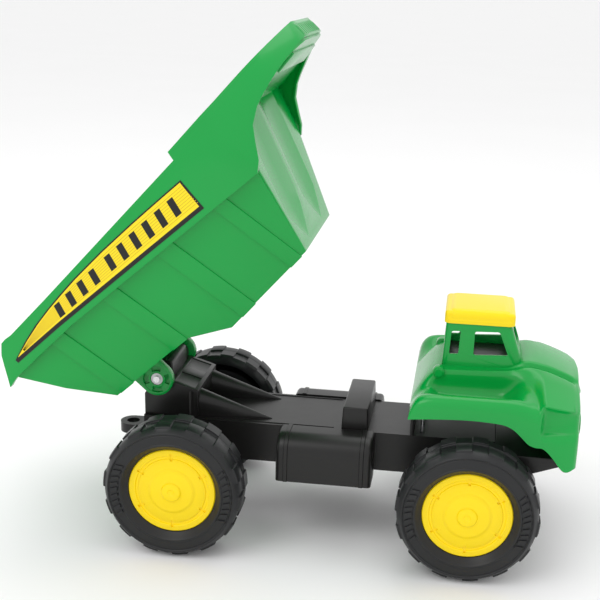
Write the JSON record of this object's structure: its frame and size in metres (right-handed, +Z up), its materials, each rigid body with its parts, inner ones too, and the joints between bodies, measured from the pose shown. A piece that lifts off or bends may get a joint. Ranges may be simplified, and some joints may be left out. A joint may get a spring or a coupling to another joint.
{
  "type": "toy dump truck",
  "caption": "Free-rolling toy dump truck with a tilting open bed, fixed cab, flat deck, side tanks and a rear tow eye.",
  "frame": {"origin": "middle of the bounding box's bottom, on the ground under the truck, bed raised", "axes": "+X forward, +Y the truck's left, +Z up"},
  "size_m": [0.4194, 0.2042, 0.3866],
  "materials": {
    "green_plastic": "glossy moulded polypropylene, dyed through",
    "yellow_plastic": "glossy moulded plastic",
    "black_plastic": "satin moulded plastic",
    "tyre_plastic": "satin hard plastic tyre",
    "bright_steel": "drawn steel rod",
    "zinc_steel": "zinc plated spring steel",
    "decal_film": "printed vinyl film"
  },
  "bodies": {
    "chassis": {"chassis_deck": "black_plastic", "hinge_tower": "black_plastic", "rear_axle_beam": "black_plastic", "front_axle_beam": "black_plastic", "cab_bracket": "black_plastic", "tow_hitch": "black_plastic", "bed_rest_block": "black_plastic", "side_tank_left": "black_plastic", "side_tank_right": "black_plastic", "cab_body": "green_plastic", "cab_glasshouse": "green_plastic", "cab_roof": "yellow_plastic", "cab_screws": "zinc_steel", "front_axle": "bright_steel", "rear_axle": "bright_steel", "axle_push_nuts": "zinc_steel", "hinge_pin": "bright_steel", "hinge_push_nuts": "zinc_steel"},
    "dump_bed_body": {"dump_bed": "green_plastic", "bed_decal_left": "decal_film", "bed_decal_right": "decal_film"},
    "wheel_front_left": {"tyre_front_left": "tyre_plastic", "hub_disc_front_left": "yellow_plastic"},
    "wheel_front_right": {"tyre_front_right": "tyre_plastic", "hub_disc_front_right": "yellow_plastic"},
    "wheel_rear_left": {"tyre_rear_left": "tyre_plastic", "hub_disc_rear_left": "yellow_plastic"},
    "wheel_rear_right": {"tyre_rear_right": "tyre_plastic", "hub_disc_rear_right": "yellow_plastic"}
  },
  "joints": [
    {"name": "bed_tilt", "type": "hinge", "parent": "chassis", "child": "dump_bed_body", "pos_m": [-0.1117, 0, 0.1185], "axis": [0, 1, 0], "range_deg": [0, 48.5]},
    {"name": "wheel_front_left_spin", "type": "hinge", "parent": "chassis", "child": "wheel_front_left", "pos_m": [0.1322, 0.0802, 0.0526], "axis": [0, 1, 0], "continuous": true},
    {"name": "wheel_front_right_spin", "type": "hinge", "parent": "chassis", "child": "wheel_front_right", "pos_m": [0.1322, -0.0802, 0.0526], "axis": [0, 1, 0], "continuous": true},
    {"name": "wheel_rear_left_spin", "type": "hinge", "parent": "chassis", "child": "wheel_rear_left", "pos_m": [-0.0858, 0.0802, 0.0526], "axis": [0, 1, 0], "continuous": true},
    {"name": "wheel_rear_right_spin", "type": "hinge", "parent": "chassis", "child": "wheel_rear_right", "pos_m": [-0.0858, -0.0802, 0.0526], "axis": [0, 1, 0], "continuous": true}
  ]
}
